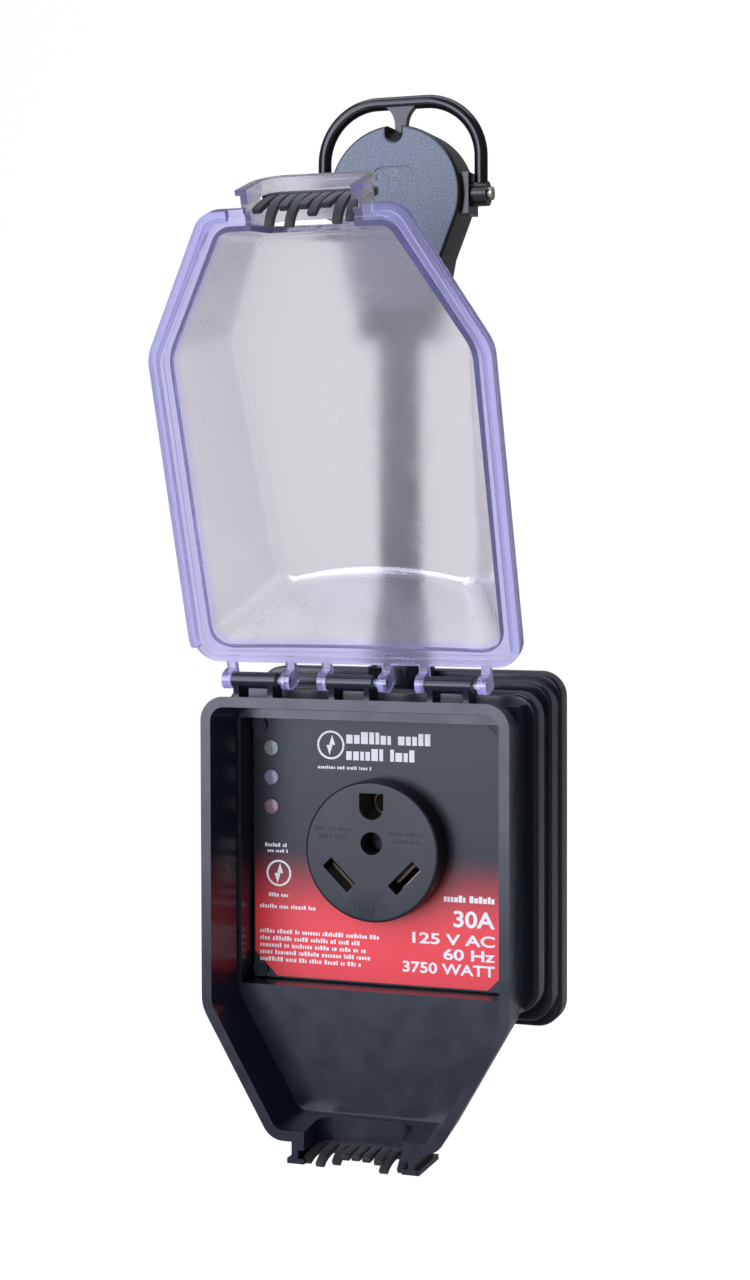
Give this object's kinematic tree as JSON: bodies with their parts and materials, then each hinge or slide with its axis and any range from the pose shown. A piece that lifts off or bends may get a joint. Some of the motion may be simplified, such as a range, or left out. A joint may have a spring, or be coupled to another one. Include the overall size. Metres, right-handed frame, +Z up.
{
  "type": "surge protector plug",
  "caption": "Corded caravan surge protector: plug with a pull handle, short lead, tapered box with an outlet, clear hinged lid.",
  "frame": {"origin": "centre of the plug's blade face, because the part hangs from its plug in use", "axes": "+Z up, +X to the right of a person facing the outlet, the open front faces -Y, the blades point along +Y"},
  "size_m": [0.1304, 0.1473, 0.4081],
  "materials": {
    "housing_black": "gloss moulded",
    "rubber_black": "matt",
    "panel_grey": "fine texture",
    "label_print": "satin film, charcoal above fading to red",
    "outlet_grey": "satin thermoset",
    "lens_green": "tinted lens",
    "lens_blue": "tinted lens",
    "lens_red": "tinted lens",
    "clear_cover": "clear polycarbonate, violet at the edges",
    "screw_steel": "nickel-plated",
    "screw_black": "black oxide",
    "contact_brass": "bright",
    "blade_brass": "bright",
    "board_green": "solder mask",
    "varistor_blue": "epoxy coated",
    "fuse_white": "ceramic",
    "wire_black": "insulated",
    "wire_white": "insulated",
    "wire_green": "insulated",
    "cord_black": "matt jacket",
    "plug_grey": "fine grained",
    "handle_black": "gloss moulded"
  },
  "bodies": {
    "housing": {"front_tray": "housing_black", "rear_case": "housing_black", "case_gasket": "rubber_black", "face_panel": "panel_grey", "face_label": "label_print", "panel_screws": "screw_black", "case_screws": "screw_steel", "status_lens_green": "lens_green", "status_lens_blue": "lens_blue", "status_lens_red": "lens_red", "status_lamps": "fuse_white", "lamp_board": "board_green", "outlet_body": "outlet_grey", "outlet_screw": "screw_black", "outlet_contact_line": "contact_brass", "outlet_contact_neutral": "contact_brass", "outlet_contact_ground": "contact_brass", "outlet_back_plate": "outlet_grey", "circuit_board": "board_green", "board_pillars": "fuse_white", "varistors": "varistor_blue", "thermal_fuse": "fuse_white", "line_wire": "wire_black", "neutral_wire": "wire_white", "ground_wire": "wire_green", "terminal_screws": "screw_steel", "cord_gland": "housing_black", "strain_relief": "rubber_black", "power_cord": "cord_black", "housing_comb": "rubber_black", "plug_blade_line": "blade_brass", "plug_blade_neutral": "blade_brass", "plug_ground_pin": "blade_brass", "pivot_plates": "handle_black", "handle_screws": "screw_steel", "plug_body": "plug_grey", "plug_collar": "cord_black"},
    "lid": {"clear_lid": "clear_cover", "lid_comb": "rubber_black"},
    "handle": {"carry_handle": "handle_black"}
  },
  "joints": [
    {"name": "lid_hinge", "type": "hinge", "parent": "housing", "child": "lid", "pos_m": [0, -0.0672, -0.1867], "axis": [1, 0, 0], "range_deg": [-12, 161.4]},
    {"name": "handle_pivot", "type": "hinge", "parent": "housing", "child": "handle", "pos_m": [0, -0.0105, 0], "axis": [1, 0, 0], "range_deg": [-22, 90]}
  ]
}
